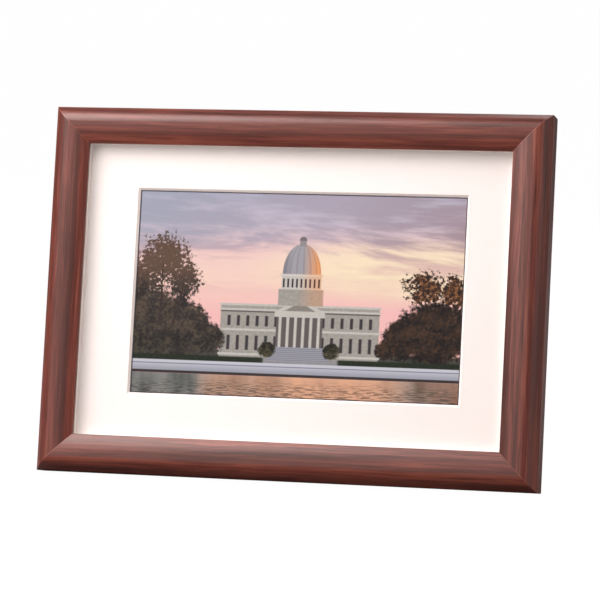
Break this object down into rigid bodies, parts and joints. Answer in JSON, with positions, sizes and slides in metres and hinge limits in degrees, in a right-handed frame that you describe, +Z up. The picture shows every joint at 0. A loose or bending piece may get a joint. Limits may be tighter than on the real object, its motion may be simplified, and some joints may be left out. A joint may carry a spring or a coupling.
{
  "type": "digital photo frame",
  "caption": "Table-top digital photo frame: mitred wooden moulding, white bevelled mat, landscape display, rear housing with ports and buttons, and a hinged leg.",
  "frame": {"origin": "on the table, at the middle of the object's footprint", "axes": "+Z up, -Y out of the display's side towards the viewer, +X to the viewer's right"},
  "size_m": [0.326, 0.1114, 0.2341],
  "materials": {
    "wood": "satin red-brown stained hardwood",
    "v_nail": "blued steel",
    "glass": "clear, anti-glare",
    "spacer": "white",
    "mat": "warm white mat board",
    "gasket": "black foam",
    "screen": "lit display showing a dusk scene",
    "films": "milky",
    "light_guide": "clear acrylic",
    "led_strip": "white strip with yellow diodes",
    "reflector": "silvered film",
    "tray": "pressed sheet",
    "tape": "foam tape",
    "chassis": "black moulding",
    "flex": "amber film",
    "board": "green solder mask",
    "screw": "black zinc",
    "board_screw": "zinc",
    "chip": "epoxy",
    "heat_sink": "anodised",
    "shield": "tinned",
    "socket": "stamped steel",
    "connector": "ivory nylon",
    "speaker": "black",
    "lead": "black jacket",
    "cover": "fine spark texture",
    "bumper": "soft",
    "button": "satin",
    "leg": "fine spark texture",
    "pin": "ground",
    "foot": "soft"
  },
  "bodies": {
    "frame": {"antenna_lead": "lead", "backlight_tray": "tray", "board_components": "chip", "board_connectors": "connector", "board_screws": "board_screw", "bottom_rail": "wood", "card_slot": "socket", "corner_v_nails": "v_nail", "cover_screws": "screw", "display_chassis": "chassis", "display_flex": "flex", "front_glass": "glass", "heat_sink": "heat_sink", "hinge_pin": "pin", "hinge_washers": "pin", "lcd_cell": "screen", "led_strip": "led_strip", "left_stile": "wood", "light_guide": "light_guide", "main_board": "board", "mat_board": "mat", "mat_spacers": "spacer", "memory_chips": "chip", "mounting_tapes": "tape", "optical_films": "films", "panel_gasket": "gasket", "processor": "chip", "rear_cover": "cover", "reflector_sheet": "reflector", "right_stile": "wood", "speaker_leads": "lead", "speaker_left": "speaker", "speaker_right": "speaker", "tact_switches": "shield", "top_rail": "wood", "usb_c_port": "socket", "wall_bumpers": "bumper", "wifi_antenna": "board", "wifi_shield": "shield"},
    "leg": {"stand_leg": "leg", "foot_pad": "foot"},
    "power_button": {"power_button": "button"},
    "menu_button": {"menu_button": "button"},
    "previous_button": {"previous_button": "button"},
    "next_button": {"next_button": "button"}
  },
  "joints": [
    {"name": "leg_hinge", "type": "hinge", "parent": "frame", "child": "leg", "pos_m": [0, 0.01525, 0.15782], "axis": [1, 0, 0], "range_deg": [-26, 0]},
    {"name": "power_button_press", "type": "slide", "parent": "frame", "child": "power_button", "axis": [-1, 0, 0], "range_m": [0, 0.0005], "stiffness_N_per_m": 600, "springref_m": -0.001},
    {"name": "menu_button_press", "type": "slide", "parent": "frame", "child": "menu_button", "axis": [-1, 0, 0], "range_m": [0, 0.0005], "stiffness_N_per_m": 600, "springref_m": -0.001},
    {"name": "previous_button_press", "type": "slide", "parent": "frame", "child": "previous_button", "axis": [-1, 0, 0], "range_m": [0, 0.0005], "stiffness_N_per_m": 600, "springref_m": -0.001},
    {"name": "next_button_press", "type": "slide", "parent": "frame", "child": "next_button", "axis": [-1, 0, 0], "range_m": [0, 0.0005], "stiffness_N_per_m": 600, "springref_m": -0.001}
  ]
}
